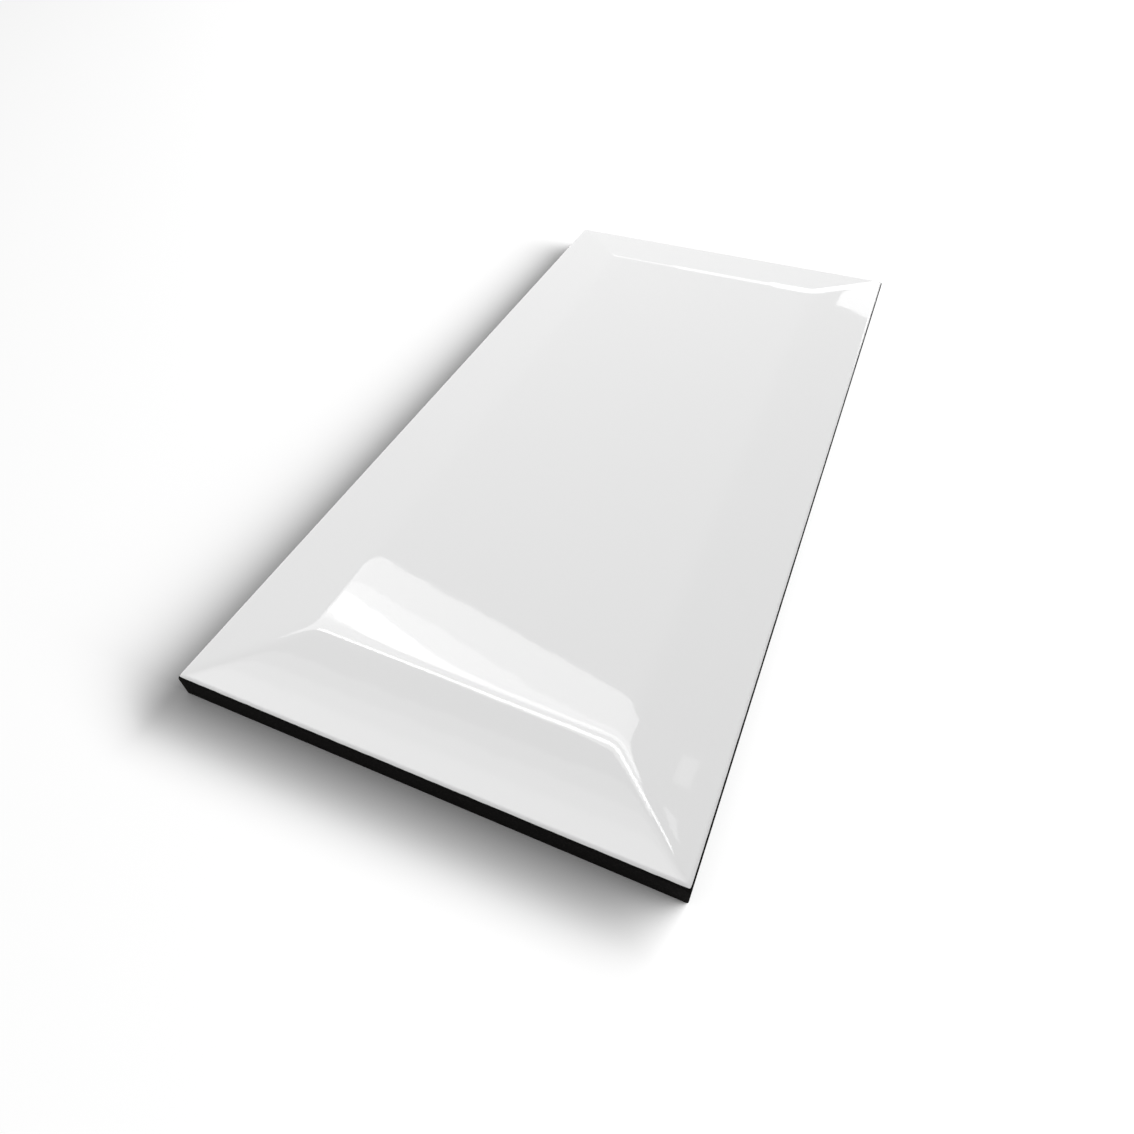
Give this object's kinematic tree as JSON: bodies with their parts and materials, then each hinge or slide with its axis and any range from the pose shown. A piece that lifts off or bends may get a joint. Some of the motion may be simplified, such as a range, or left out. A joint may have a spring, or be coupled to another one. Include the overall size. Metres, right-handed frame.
{
  "type": "bevelled wall tile",
  "caption": "Rectangular glazed ceramic wall tile with a flat raised panel, mitred bevels falling to all its sides and a keyed back; it is bonded to a wall.",
  "frame": {"origin": "centre of the back, on the plane of the back's ribs", "axes": "+Z out of the glazed face, +Y along the long side, +X along the short side"},
  "size_m": [0.1, 0.2, 0.0076],
  "materials": {
    "glazed_tile": "gloss"
  },
  "bodies": {
    "root": {"tile": "glazed_tile"}
  },
  "joints": []
}
